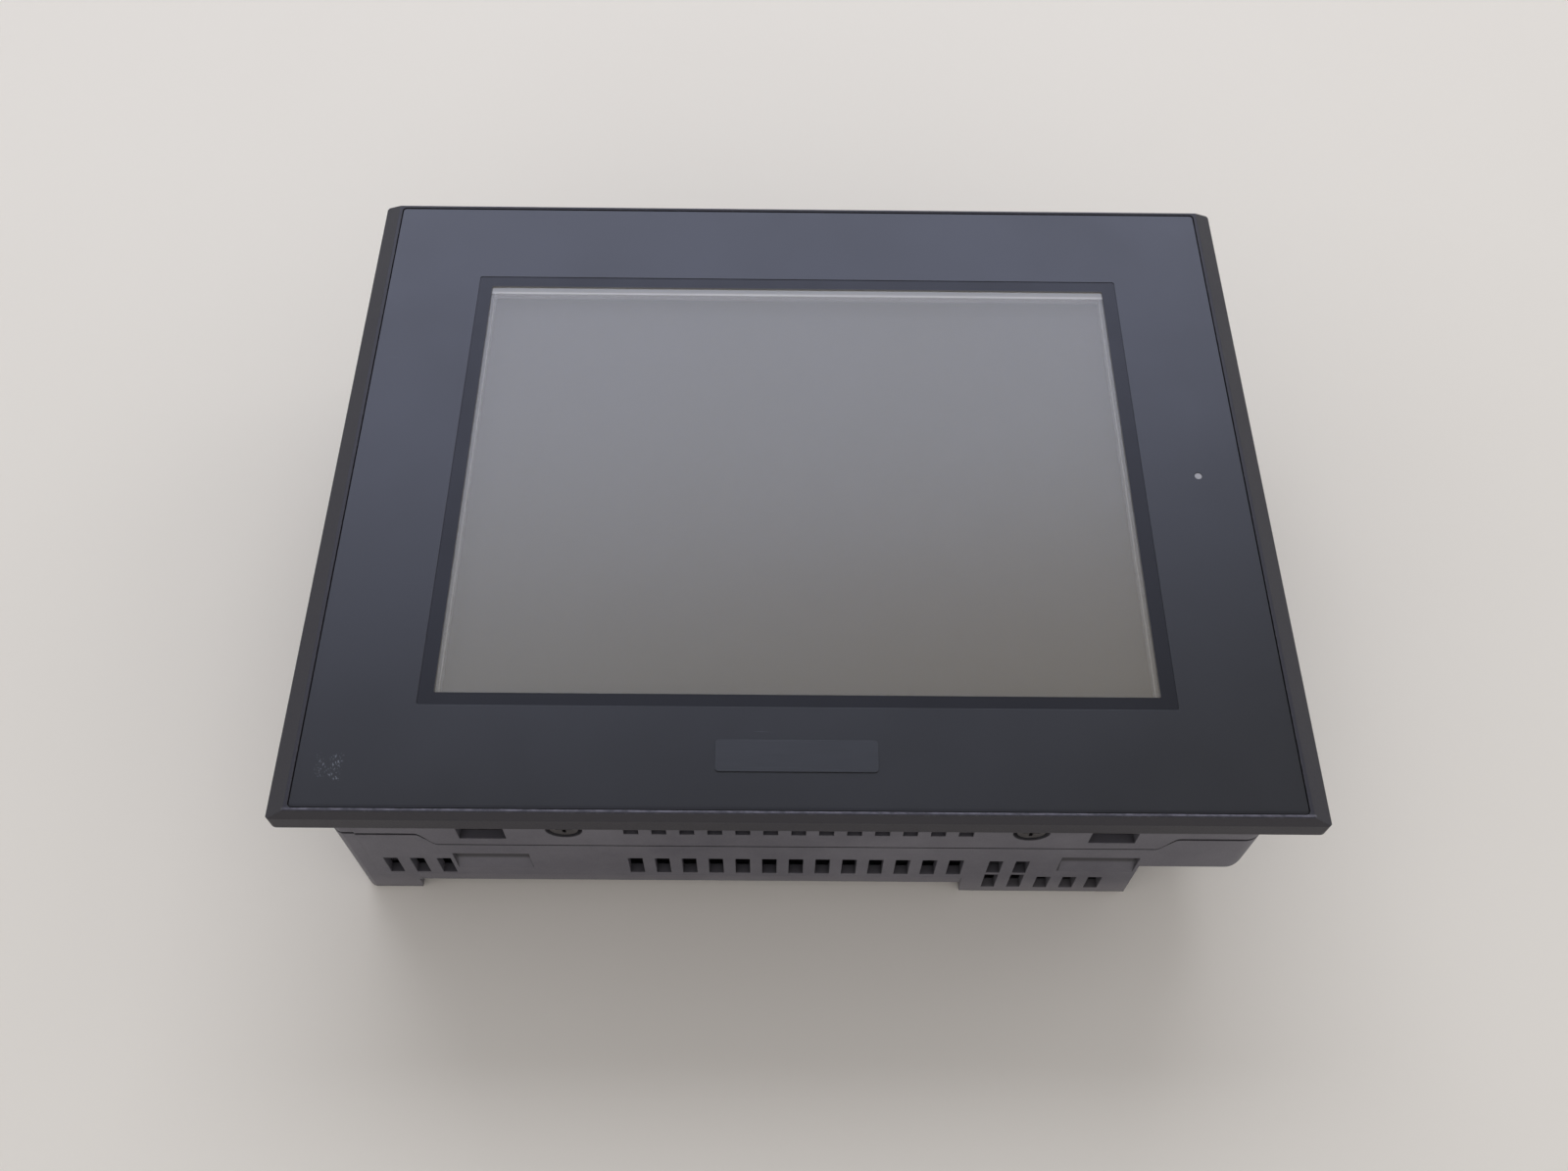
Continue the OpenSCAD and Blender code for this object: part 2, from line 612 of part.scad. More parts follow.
    // rear screws
    for (sy = [-1, 1]) {
      translate([-post_x, sy * post_y, -1]) cylinder(r = 3.3, h = 9);
      translate([-post_x, sy * post_y, -1]) cylinder(r = 1.7, h = 40);
      translate([post_x, sy * post_y, shelf_z - 1]) cylinder(r = 3.3, h = 4.8);
      translate([post_x, sy * post_y, shelf_z - 1]) cylinder(r = 1.7, h = 20);
    }
    // card door
    card_door_opening(0.35);
    // pin of the card door, let in from above
    translate([door_x, door_y, door_z0 - 3.4]) cylinder(r = door_pin_d / 2, h = 30);
    // expansion opening and the seat of its cover
    slab([-60.2, -20.2, recess_z - 1], [0.2, 20.2, recess_z + 1.5]);
    slab([-51, -16, recess_z - 1], [-9, 16, recess_z + wall + 1]);
    for (x = [-56, -4]) translate([x, 0, recess_z]) cylinder(r = 1.25, h = 7);
    // seat of the label
    slab([-62, 33.8, recess_z - 1], [2, 60.2, recess_z + 0.2]);
    // connectors
    slab([tb_x0 - 0.2, block_y - 23.6, shelf_z - 1], [tb_x1 + 0.2, block_y + 23.6, shelf_z + wall + 1]);
    slab([conn_x - 4.9, serial_y - 20.4, shelf_z - 1], [conn_x + 4.9, serial_y + 20.4, shelf_z + wall + 1]);
    for (s = [-1, 1]) translate([conn_x, serial_y + s * 23.52, shelf_z - 1]) cylinder(r = 3.2, h = 6);
    slab([conn_x - 8.2, -13.2, shelf_z - 1], [conn_x + 6.2, -0.8, shelf_z + wall + 1]);
    translate([conn_x, tool_y, shelf_z - 1]) cylinder(r = 7.2, h = 6);
  }

module rear_screws() color([0.75, 0.75, 0.75])
  for (sx = [-1, 1], sy = [-1, 1]) translate([sx * post_x, sy * post_y, 0]) {
    cross_head(2.9, 1.9, (sx < 0 ? 8 : shelf_z + 3.8) - 1.9);
    translate([0, 0, (sx < 0 ? 8 : shelf_z + 3.8) - 0.2]) cylinder(r = 1.5, h = 38 - (sx < 0 ? 8 : shelf_z + 3.8));
  }

module side_screws() color([0.55, 0.55, 0.56])
  for (sx = [-1, 1], sy = [-1, 1])
    translate([sx * screw_x, 0, screw_z]) rotate([sy > 0 ? 90 : -90, 0, 0]) {
      difference() {
        translate([0, 0, -78.5]) cylinder(r = 3.1, h = 1.75);
        translate([-1.9, -0.4, -79]) cube([3.8, 0.8, 1.7]);
        translate([-0.4, -1.9, -79]) cube([0.8, 3.8, 1.7]);
      }
      translate([0, 0, -76.9]) cylinder(r = 1.5, h = 5);
    }

module expansion_cover() color([0.26, 0.25, 0.25])
  difference() {
    union() {
      slab([-60, -20, recess_z], [0, 20, recess_z + 1.5]);
      slab([-50.8, -15.8, recess_z + 1.4], [-9.2, 15.8, recess_z + 2.4]);
    }
    for (x = [-56, -4]) translate([x, 0, recess_z - 1]) cylinder(r = 1.7, h = 5);
    slab([-34, -21, recess_z - 1], [-26, -18.4, recess_z + 0.6]);
  }

module expansion_screws() color([0.75, 0.75, 0.75])
  for (x = [-56, -4]) translate([x, 0, 0]) {
    cross_head(2.7, 1.6, recess_z - 1.6);
    translate([0, 0, recess_z - 0.2]) cylinder(r = 1.5, h = 6);
  }

module rear_label() color([0.75, 0.75, 0.76])
  slab([-61.8, 34, recess_z], [1.8, 60, recess_z + 0.2]);

// ----------------------------------------------------------------- connectors

module terminal_block() color([0.1, 0.1, 0.1])
  difference() {
    union() {
      slab([tb_x0, block_y - 23.4, 12.4], [tb_x1, block_y + 23.4, board_z]);
      for (i = [0:5])
        slab([tb_x0, block_y - 23.4 + i * 9, 9.9], [tb_x1, block_y - 21.6 + i * 9, 12.5]);
      slab([tb_x0, block_y - 23.4, 9.9], [tb_x0 + 1.4, block_y + 23.4, 12.5]);
    }
    for (i = [0:4])
      translate([conn_x + 1.2, block_y - 18 + i * 9, 11]) cylinder(r = 1.25, h = 12);
  }

module terminal_screws() color([0.82, 0.82, 0.8])
  for (i = [0:4]) translate([conn_x + 1.2, block_y - 18 + i * 9, 0]) {
    cross_head(3, 1.6, 10.3);
    slab([-3.2, -3.2, 11.8], [3.2, 3.2, 12.4]);
    translate([0, 0, 12.3]) cylinder(r = 1.5, h = 7);
  }

module terminal_cover() color([0.75, 0.8, 0.82, 0.5])
  difference() {
    union() {
      pin_y(cover_ax, block_y - 23.8, block_y + 23.8, cover_az, 1.6);
      pin_y(cover_ax, block_y - 26, block_y + 26, cover_az, 1);
      slab([cover_ax - 1.6, block_y - 23.8, 8.9], [cover_ax - 0.6, block_y + 23.8, cover_az]);
      slab([tb_x0, block_y - 23.8, 8.9], [cover_ax - 0.6, block_y + 23.8, 9.7]);
    }
    slab([tb_x0 - 1, block_y - 6, 8], [tb_x0 + 1.4, block_y + 6, 11]);
  }

module serial_connector() color([0.75, 0.75, 0.75]) {
  translate([conn_x, serial_y, 0]) {
    slab([-6.2, -26.6, shelf_z + wall + 0.05], [6.2, 26.6, board_z]);
    difference() {
      translate([0, 0, 12.6]) linear_extrude(10) dshape(19.6, 8.4);
      translate([0, 0, 11]) linear_extrude(7) dshape(18.9, 7.1);
    }
    difference() {
      translate([0, 0, 13]) linear_extrude(6) dshape(18.5, 6.2);
      for (i = [0:12]) translate([1.4, (i - 6) * 2.76, 12]) cylinder(r = 0.6, h = 4, $fn = 8);
      for (i = [0:11]) translate([-1.4, (i - 5.5) * 2.76, 12]) cylinder(r = 0.6, h = 4, $fn = 8);
    }
  }
}

// outline of the connector's shell, a trapezoid
module dshape(hl, w) {
  polygon([[w / 2, -hl], [w / 2, hl], [-w / 2, hl - 1.6], [-w / 2, -hl + 1.6]]);
}

module serial_jack_posts() color([0.8, 0.8, 0.78])
  for (s = [-1, 1]) translate([conn_x, serial_y + s * 23.52, 0])
    difference() {
      union() {
        translate([0, 0, 13.2]) cylinder(r = 2.75, h = shelf_z + wall + 0.05 - 13.2, $fn = 6);
      }
      translate([0, 0, 12]) cylinder(r = 1.42, h = 6.5);
    }

module network_jack() color([0.8, 0.81, 0.82])
  difference() {
    slab([conn_x - 8, -13, 14.4], [conn_x + 6, -1, board_z]);
    slab([conn_x - 6.4, -11.8, 10], [conn_x + 2.2, -2.2, 25]);
    slab([conn_x + 2.1, -9.6, 10], [conn_x + 4, -4.4, 25]);
  }

module tool_port() color([0.12, 0.12, 0.12])
  translate([conn_x, tool_y, 0])
    difference() {
      union() {
        translate([0, 0, 16.6]) cylinder(r = 7, h = 6);
        slab([-6, -6, shelf_z + wall + 0.05], [6, 6, board_z]);
      }
      difference() {
        translate([0, 0, 15]) cylinder(r = 4.6, h = 8.6);
        translate([0, 0, 18]) cylinder(r = 2.9, h = 8);
      }
    }

// --------------------------------------------------------- memory card corner

module card_socket() color([0.78, 0.78, 0.76]) {
  difference() {
    slab([-97.6, card_y - 23.4, 20.6], [-58, card_y + 23.4, board_z]);
    // bay of the card
    slab([-99, card_y - 21.6, 21.6], [-61, card_y + 21.6, 26.6]);
  }
  difference() {
    slab([-97.2, card_y - 28.4, 21.4], [-64, card_y - 23.3, board_z]);
    slab([-99, card_y - 27.4, 22.4], [-63, card_y - 24.2, 26.4]);
  }
}

module card_eject_button() color([0.15, 0.15, 0.15])
  slab([-99.2, card_y - 27.2, 22.6], [-68, card_y - 24.4, 26.2]);

module card_door() color([0.27, 0.26, 0.26])
  difference() {
    union() {
      slab([-bx, -40.6, door_z0], [-bx + 1.6, door_y, door_z1]);
      translate([door_x, door_y, door_z0]) cylinder(r = 1.7, h = door_z1 - door_z0);
      slab([-bx - 0.5, -40.6, door_z0 + 3], [-bx + 0.2, -37.6, door_z1 - 3]);
    }
    translate([door_x, door_y, door_z0 - 1]) cylinder(r = door_pin_d / 2 + hinge_gap, h = door_z1 - door_z0 + 2);
  }

module card_door_pin() color([0.7, 0.7, 0.72])
  translate([door_x, door_y, door_z0 - 3.3]) cylinder(r = door_pin_d / 2, h = door_z1 - door_z0 + 5.8);

module dip_switch_block() color([0.5, 0.12, 0.1])
  difference() {
    slab([-98.4, dip_y - 5.9, 21.4], [-92.4, dip_y + 5.9, board_z]);
    for (i = [0:3])
      slab([-99, dip_y + (i - 1.5) * 2.54 - 0.65, dip_z - 1.5], [-96.4, dip_y + (i - 1.5) * 2.54 + 0.65, dip_z + 1.5]);
  }

module dip_slider(i) color([0.95, 0.95, 0.92])
  slab([-99, dip_y + (i - 2.5) * 2.54 - 0.6, dip_z - 1.45], [-96.45, dip_y + (i - 2.5) * 2.54 + 0.6, dip_z - 0.05]);

front_bezel();
panel_gasket();
overlay_sheet();
badge_plate();
touch_rim_seal();
touch_film();
touch_spacer();
touch_glass();
touch_tape();
touch_tail();
screen_cushion();
status_light_pipe();
status_light_board();
display_frame();
display_glass();
diffuser_sheet();
light_guide();
display_tray();
backlight_lamp();
lamp_holders();
lamp_cable();
inverter_board();
display_cable();
chassis_plate();
chassis_screws();
main_board();
board_chips();
heat_sink();
backup_battery();
buzzer();
board_spacers();
board_screws();
power_board();
power_transformer();
power_capacitors();
board_connector();
rear_cover();
rear_screws();
side_screws();
expansion_cover();
expansion_screws();
rear_label();
terminal_block();
terminal_screws();
terminal_cover();
serial_connector();
serial_jack_posts();
network_jack();
tool_port();
card_socket();
card_eject_button();
card_door();
card_door_pin();
dip_switch_block();
dip_slider(1);  // dip_slider_1
dip_slider(2);  // dip_slider_2
dip_slider(3);  // dip_slider_3
dip_slider(4);  // dip_slider_4
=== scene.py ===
import json
import math

import bmesh
import bpy
from mathutils import Matrix, Vector


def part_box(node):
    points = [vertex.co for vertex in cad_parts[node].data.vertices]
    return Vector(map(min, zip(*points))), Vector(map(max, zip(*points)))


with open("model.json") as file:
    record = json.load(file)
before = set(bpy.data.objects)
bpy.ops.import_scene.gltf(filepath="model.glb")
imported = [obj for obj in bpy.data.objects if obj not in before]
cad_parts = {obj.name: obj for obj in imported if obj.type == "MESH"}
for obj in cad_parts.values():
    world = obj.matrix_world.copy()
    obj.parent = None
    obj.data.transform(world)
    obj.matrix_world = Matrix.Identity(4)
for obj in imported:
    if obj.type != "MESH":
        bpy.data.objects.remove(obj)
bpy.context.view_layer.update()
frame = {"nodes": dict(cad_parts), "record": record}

MM = 0.001
scene = bpy.context.scene
scene.view_settings.view_transform = "Standard"
scene.view_settings.look = "None"


def lin(r, g, b):
    """0-255 display colour to linear RGBA."""
    def one(c):
        c /= 255.0
        return c / 12.92 if c <= 0.04045 else ((c + 0.055) / 1.055) ** 2.4
    return (one(r), one(g), one(b), 1.0)


# ---------------------------------------------------------------- camera

cam_data = bpy.data.cameras.new("camera")
cam_data.sensor_width = 36.0
cam_data.lens = 33.128
cam_data.clip_start, cam_data.clip_end = 0.01, 50.0
cam = bpy.data.objects.new("camera", cam_data)
scene.collection.objects.link(cam)
RIGHT = Vector((0.9999478, 0.0039319, 0.0094261))
DOWN = Vector((0.0082468, -0.8552955, -0.5180749))
FWD = Vector((0.0060250, 0.5181256, -0.8552833))
m = Matrix.Identity(4)
for i in range(3):
    m[i][0], m[i][1], m[i][2] = RIGHT[i], -DOWN[i], -FWD[i]
m[0][3], m[1][3], m[2][3] = -0.0052919, -0.1941473, 0.3302486
cam.matrix_world = m
scene.camera = cam


# ---------------------------------------------------------------- node helpers

class Mat:
    """A procedural material. Coordinates are the piece's own, in metres."""

    def __init__(self, name):
        self.m = bpy.data.materials.new(name)
        self.m.use_nodes = True
        self.t = self.m.node_tree
        self.b = next(n for n in self.t.nodes if n.type == "BSDF_PRINCIPLED")
        self.co = self.t.nodes.new("ShaderNodeTexCoord").outputs["Object"]
        self._xyz = None

    def put(self, socket, value):
        if isinstance(value, bpy.types.NodeSocket):
            self.t.links.new(value, socket)
        elif value is not None:
            socket.default_value = value

    def set(self, **kw):
        for k, v in kw.items():
            self.put(self.b.inputs[k.replace("_", " ")], v)
        return self

    def xyz(self):
        if self._xyz is None:
            n = self.t.nodes.new("ShaderNodeSeparateXYZ")
            self.t.links.new(self.co, n.inputs[0])
            self._xyz = n
        return self._xyz.outputs

    def mapped(self, scale=(1, 1, 1), loc=(0, 0, 0), rot=(0, 0, 0)):
        n = self.t.nodes.new("ShaderNodeMapping")
        self.t.links.new(self.co, n.inputs["Vector"])
        n.inputs["Scale"].default_value = scale
        n.inputs["Location"].default_value = loc
        n.inputs["Rotation"].default_value = rot
        return n.outputs[0]

    def noise(self, scale, detail=3.0, rough=0.55, vec=None, dist=0.0):
        n = self.t.nodes.new("ShaderNodeTexNoise")
        self.t.links.new(vec or self.co, n.inputs["Vector"])
        n.inputs["Scale"].default_value = scale
        n.inputs["Detail"].default_value = detail
        n.inputs["Roughness"].default_value = rough
        n.inputs["Distortion"].default_value = dist
        return n.outputs["Fac"]

    def voronoi(self, scale, vec=None, feature="F1", out="Distance", rand=1.0):
        n = self.t.nodes.new("ShaderNodeTexVoronoi")
        n.feature = feature
        self.t.links.new(vec or self.co, n.inputs["Vector"])
        n.inputs["Scale"].default_value = scale
        n.inputs["Randomness"].default_value = rand
        return n.outputs[out]

    def math(self, op, a, b=None, clamp=False):
        n = self.t.nodes.new("ShaderNodeMath")
        n.operation = op
        n.use_clamp = clamp
        self.put(n.inputs[0], a)
        if b is not None:
            self.put(n.inputs[1], b)
        return n.outputs[0]

    def rng(self, v, a, b, c=0.0, d=1.0):
        n = self.t.nodes.new("ShaderNodeMapRange")
        n.clamp = True
        self.put(n.inputs[0], v)
        for i, x in enumerate((a, b, c, d)):
            self.put(n.inputs[1 + i], x)
        return n.outputs[0]

    def smooth(self, v, a, b, c=0.0, d=1.0):
        n = self.t.nodes.new("ShaderNodeMapRange")
        n.interpolation_type = "SMOOTHSTEP"
        self.put(n.inputs[0], v)
        for i, x in enumerate((a, b, c, d)):
            self.put(n.inputs[1 + i], x)
        return n.outputs[0]

    def mix(self, f, a, b):
        n = self.t.nodes.new("ShaderNodeMix")
        n.data_type = "RGBA"
        n.clamp_factor = True
        self.put(n.inputs[0], f)
        self.put(n.inputs[6], a)
        self.put(n.inputs[7], b)
        return n.outputs[2]

    def normal(self):
        n = self.t.nodes.new("ShaderNodeNewGeometry")
        s = self.t.nodes.new("ShaderNodeSeparateXYZ")
        self.t.links.new(n.outputs["Normal"], s.inputs[0])
        return n.outputs["Normal"], s.outputs

    def bevel(self, radius, samples=6):
        n = self.t.nodes.new("ShaderNodeBevel")
        n.samples = samples
        n.inputs["Radius"].default_value = radius
        return n.outputs[0]

    def open_sky(self, distance, samples=6):
        """1 on open faces, less in slots, seams and corners; used to paint shade and grime there."""
        n = self.t.nodes.new("ShaderNodeAmbientOcclusion")
        n.samples = samples
        n.inputs["Distance"].default_value = distance
        return n.outputs["AO"]

    def dot(self, a, b):
        n = self.t.nodes.new("ShaderNodeVectorMath")
        n.operation = "DOT_PRODUCT"
        self.put(n.inputs[0], a)
        self.put(n.inputs[1], b)
        return n.outputs["Value"]

    def bump(self, height, strength=0.3, distance=0.0001, normal=None):
        n = self.t.nodes.new("ShaderNodeBump")
        n.inputs["Strength"].default_value = strength
        n.inputs["Distance"].default_value = distance
        self.put(n.inputs["Height"], height)
        if normal is not None:
            self.put(n.inputs["Normal"], normal)
        return n.outputs[0]


def box_mask(mat, x0, x1, y0, y1, soft):
    """1 inside a rectangle in X and Y, in metres, with a soft border."""
    x, y = mat.xyz()[0], mat.xyz()[1]
    a = mat.math("MULTIPLY", mat.smooth(x, x0 - soft, x0 + soft), mat.smooth(x, x1 + soft, x1 - soft))
    b = mat.math("MULTIPLY", mat.smooth(y, y0 - soft, y0 + soft), mat.smooth(y, y1 + soft, y1 - soft))
    return mat.math("MULTIPLY", a, b)


# ---------------------------------------------------------------- materials

def case_plastic(name, z_dust=None, recess=False):
    """Grained dark moulding. Below z_dust it is dustier, as the part behind the panel is.
    With recess, painted shade darkens the top of the finger recesses. Painted shade and grime from the occlusion darken
    the seam and other crevices."""
    p = Mat(name)
    geo, n = p.normal()
    bev = p.bevel(0.00028)
    edge = p.math("SUBTRACT", 1.0, p.dot(bev, geo))
    tone = p.noise(38, 4, 0.6)
    patch = p.noise(11, 3, 0.5)
    dark = p.mix(tone, lin(37, 36, 43), lin(44, 43, 51))
    dusty_tone = p.math("ADD", p.math("MULTIPLY", p.noise(70, 5, 0.65), 0.6), p.math("MULTIPLY", patch, 0.4))
    dusty = p.mix(p.rng(dusty_tone, 0.34, 0.68), lin(79, 78, 87), lin(99, 98, 106))
    specks = p.rng(p.voronoi(900), 0.09, 0.03)
    dusty = p.mix(p.math("MULTIPLY", specks, 0.35), dusty, lin(164, 160, 154))
    if z_dust is None:
        base, m_d = dusty, 1.0
    else:
        m_d = p.smooth(p.xyz()[2], z_dust + 0.0001, z_dust - 0.0001)
        base = p.mix(m_d, dark, dusty)
    # wear on the edges
    broken = p.rng(p.noise(900, 2, 0.7), 0.5, 0.66)
    worn = p.math("MULTIPLY", p.rng(edge, 0.03, 0.14), broken)
    base = p.mix(p.math("MULTIPLY", worn, 0.5), base, lin(120, 118, 122))
    if z_dust is not None:
        # painted highlight: a thin broken bright line along the lip's lower run
        y, z = p.xyz()[1], p.xyz()[2]
        line = p.math("MULTIPLY", p.math("MULTIPLY", p.smooth(y, -0.0837, -0.08355), p.smooth(y, -0.0831, -0.0832)), p.smooth(z, 0.0597, 0.0599))
        lip_highlight_breakup = p.rng(p.noise(1, 3, 0.7, p.mapped((420, 900, 40))), 0.4, 0.6, 0.25, 1.0)
        base = p.mix(p.math("MULTIPLY", line, lip_highlight_breakup), base, lin(98, 97, 110))
    # painted light: paler in patches low on the outside, where the floor's bounce light falls
    low_bounce_light = p.math("MULTIPLY", p.smooth(p.xyz()[2], 0.011, 0.002), p.rng(p.noise(46, 4, 0.6), 0.25, 0.6, 0.35, 1.0))
    base = p.mix(p.math("MULTIPLY", low_bounce_light, 0.5), base, lin(126, 124, 128))
    # painted shade and grime: darker in slots, seams, corners and under overhangs, by the occlusion node
    crevice_shade_and_grime = p.rng(p.open_sky(0.0035), 0.35, 0.85, 0.75, 0.0)
    base = p.mix(crevice_shade_and_grime, base, lin(34, 33, 36))
    if recess:
        # painted shade along the top of the finger recesses
        x, y, z = p.xyz()
        ax, ay = p.math("ABSOLUTE", x), p.math("ABSOLUTE", y)
        deep = p.math("MAXIMUM", p.smooth(ay, 0.07795, 0.07775),
                      p.math("MULTIPLY", p.rng(ax, 0.06005, 0.05995), p.rng(ay, 0.0787, 0.07865)))
        here = p.math("MULTIPLY", p.math("MULTIPLY", p.rng(z, 0.0142, 0.0144), p.rng(z, 0.0236, 0.0234)),
                      p.math("MULTIPLY", p.rng(ax, 0.0590, 0.0592), p.rng(ax, 0.0772, 0.0770)))
        base = p.mix(p.math("MULTIPLY", p.math("MULTIPLY", deep, here), 0.85), base, lin(46, 45, 49))
    grain = p.noise(2600, 2, 0.5)
    fine = p.bump(grain, 0.35, 0.00006, bev)
    p.set(Base_Color=base, Roughness=p.rng(p.math("ADD", p.math("MULTIPLY", tone, 0.5), p.math("MULTIPLY", grain, 0.5)), 0.3, 0.7, 0.46, 0.62), Normal=fine)
    p.b.inputs["Specular IOR Level"].default_value = 0.42
    return p.m


def front_sheet():
    p = Mat("front_sheet")
    tone = p.noise(22, 3, 0.5)
    base = p.mix(tone, lin(30, 31, 35), lin(35, 36, 40))
    # painted shade: a dark band along the sheet's lower margin
    lower_margin_shade = p.smooth(p.xyz()[1], -0.08225, -0.0825)
    base = p.mix(p.math("MULTIPLY", lower_margin_shade, 0.9), base, lin(14, 14, 19))
    # rubbed dashes near the lower left corner
    area = box_mask(p, -0.0983, -0.0931, -0.0772, -0.0712, 0.0005)
    dash = p.rng(p.noise(1, 2, 0.6, p.mapped((3600, 1500, 1), rot=(0, 0, 0.3))), 0.57, 0.66)
    fade = p.rng(p.noise(420, 2), 0.46, 0.56)
    base = p.mix(p.math("MULTIPLY", p.math("MULTIPLY", area, dash), fade), base, lin(108, 113, 122))
    # a few faint hairlines and lint
    hair = p.rng(p.noise(1, 2, 0.5, p.mapped((60, 1900, 1), rot=(0, 0, 0.5))), 0.76, 0.8)
    base = p.mix(p.math("MULTIPLY", hair, 0.12), base, lin(110, 112, 122))
    grain = p.noise(3800, 2, 0.6)
    p.set(Base_Color=base,
          Roughness=p.rng(p.noise(30, 4, 0.6), 0.3, 0.7, 0.29, 0.35),
          Normal=p.bump(grain, 0.22, 0.00004, p.bevel(0.00015)))
    p.b.inputs["Specular IOR Level"].default_value = 0.5
    return p.m


def badge():
    p = Mat("badge")
    brushed = p.noise(1, 3, 0.6, p.mapped((90, 5200, 1)))
    base = p.mix(brushed, lin(38, 40, 45), lin(45, 47, 53))
    p.set(Base_Color=base, Metallic=0.0, Roughness=p.rng(brushed, 0.3, 0.7, 0.3, 0.4),
          Normal=p.bump(brushed, 0.15, 0.00003, p.bevel(0.0001)))
    return p.m


def black_rim():
    p = Mat("black_rim")
    base = p.mix(p.noise(40, 3), lin(12, 12, 17), lin(17, 17, 22))
    # the cut edge is paler than the face
    base = p.mix(p.rng(p.normal()[1][2], 0.3, 0.7, 1.0, 0.0), base, lin(122, 122, 124))
    p.set(Base_Color=base, Roughness=p.rng(p.noise(60, 4), 0.3, 0.7, 0.32, 0.4),
          Normal=p.bump(p.noise(3600, 2), 0.15, 0.00003))
    p.b.inputs["Specular IOR Level"].default_value = 0.35
    return p.m


def touch_film():
    """Matt film with the fine cell lines of a 32 by 24 touch matrix. What lies behind shows through it."""
    p = Mat("touch_film")
    x, y = p.xyz()[0], p.xyz()[1]
    lo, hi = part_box("touch_rim_seal")
    cx, cy = -0.00035, -0.00025

    def lines(v, c, pitch, width):
        f = p.math("FRACT", p.math("ADD", p.math("DIVIDE", p.math("SUBTRACT", v, c), pitch), 64.0))
        d = p.math("ABSOLUTE", p.math("SUBTRACT", f, 0.5))
        return p.rng(d, 0.5 - width / pitch, 0.5)

    gx = lines(x, cx, 0.00468, 0.00012)
    gy = lines(y, cy, 0.00468, 0.00012)
    broken_x = p.rng(p.noise(1, 2, 0.6, p.mapped((120, 420, 1))), 0.35, 0.6, 0.35, 1.0)
    broken_y = p.rng(p.noise(1, 2, 0.6, p.mapped((420, 120, 1))), 0.4, 0.62, 0.1, 1.0)
    grid = p.math("MAXIMUM", p.math("MULTIPLY", gx, broken_x), p.math("MULTIPLY", p.math("MULTIPLY", gy, broken_y), 0.6))
    haze = p.noise(14, 3, 0.55)
    base = p.mix(haze, lin(125, 121, 112), lin(131, 127, 117))
    # painted shade: warmer and darker towards the lower right, where the window's reflection fades
    warm_painted_shade = p.math("MULTIPLY", p.smooth(y, 0.02, -0.055), p.smooth(x, -0.075, 0.06, 0.25, 1.0))
    base = p.mix(p.math("MULTIPLY", warm_painted_shade, 0.6), base, lin(121, 109, 90))
    base = p.mix(p.math("MULTIPLY", grid, 0.35), base, lin(92, 93, 96))
    lint = p.rng(p.voronoi(330), 0.05, 0.02)
    base = p.mix(p.math("MULTIPLY", lint, 0.35), base, lin(176, 176, 178))
    # painted light: a pale band above the cells, with a painted highlight line along it
    above = p.smooth(y, 0.0543, 0.0546)
    base = p.mix(above, base, lin(178, 177, 174))
    border = p.math("MULTIPLY", p.smooth(y, 0.0543, 0.0545), p.smooth(y, 0.0551, 0.0549))
    base = p.mix(p.math("MULTIPLY", border, p.rng(p.noise(1, 2, 0.6, p.mapped((90, 10, 1))), 0.3, 0.6, 0.7, 1.0)), base, lin(208, 207, 204))
    p.set(Base_Color=base, Alpha=p.rng(p.xyz()[2], 0.05925, 0.05935, 0.0, 0.5),
          Roughness=p.rng(haze, 0.3, 0.7, 0.28, 0.32),
          Normal=p.bump(p.noise(2600, 3, 0.6), 0.12, 0.00003))
    p.b.inputs["IOR"].default_value = 1.9
    p.b.inputs["Specular IOR Level"].default_value = 0.62
    return p.m


def clear_sheet(name, tint, alpha, rough=0.06, above=None):
    """A see-through sheet. Given above, only the faces higher than that carry the tint."""
    p = Mat(name)
    n = p.noise(120, 3)
    a = p.rng(n, 0.3, 0.7, alpha * 0.85, alpha * 1.15)
    if above is not None:
        a = p.math("MULTIPLY", a, p.rng(p.xyz()[2], above - 0.00005, above + 0.00005))
    p.set(Base_Color=p.mix(n, tint, tuple(c * 0.9 for c in tint[:3]) + (1,)), Alpha=a,
          Roughness=p.rng(n, 0.3, 0.7, rough, rough + 0.03))
    return p.m


def plain(name, a, b, rough=0.5, scale=60, bump=0.1, grain=1800, metal=0.0, spec=0.5, bevel=0.00015, dust=0.0):
    """Tone between a and b, fine grain, rounded edges in the shading."""
    p = Mat(name)
    n = p.noise(scale, 4, 0.6)
    base = p.mix(p.rng(n, 0.3, 0.7), a, b)
    if dust:
        up = p.rng(p.normal()[1][2], 0.2, 1.0)
        base = p.mix(p.math("MULTIPLY", p.math("MULTIPLY", up, p.noise(140, 4)), dust), base, lin(150, 146, 140))
    g = p.noise(grain, 2)
    p.set(Base_Color=base, Metallic=metal, Roughness=p.rng(n, 0.25, 0.75, max(rough - 0.07, 0.03), rough + 0.07),
          Normal=p.bump(g, bump, 0.00005, p.bevel(bevel, 4)))
    p.b.inputs["Specular IOR Level"].default_value = spec
    return p.m


def brushed(name, a, b, rough=0.32, axis=0, metal=1.0):
    p = Mat(name)
    s = [90, 90, 90]
    for k in range(3):
        if k != axis:
            s[k] = 2600
    n = p.noise(1, 3, 0.6, p.mapped(tuple(s)))
    t = p.noise(45, 3)
    base = p.mix(p.math("ADD", p.math("MULTIPLY", n, 0.5), p.math("MULTIPLY", t, 0.5)), a, b)
    p.set(Base_Color=base, Metallic=metal, Roughness=p.rng(n, 0.3, 0.7, rough - 0.06, rough + 0.1),
          Normal=p.bump(n, 0.12, 0.00004, p.bevel(0.00012, 4)))
    return p.m


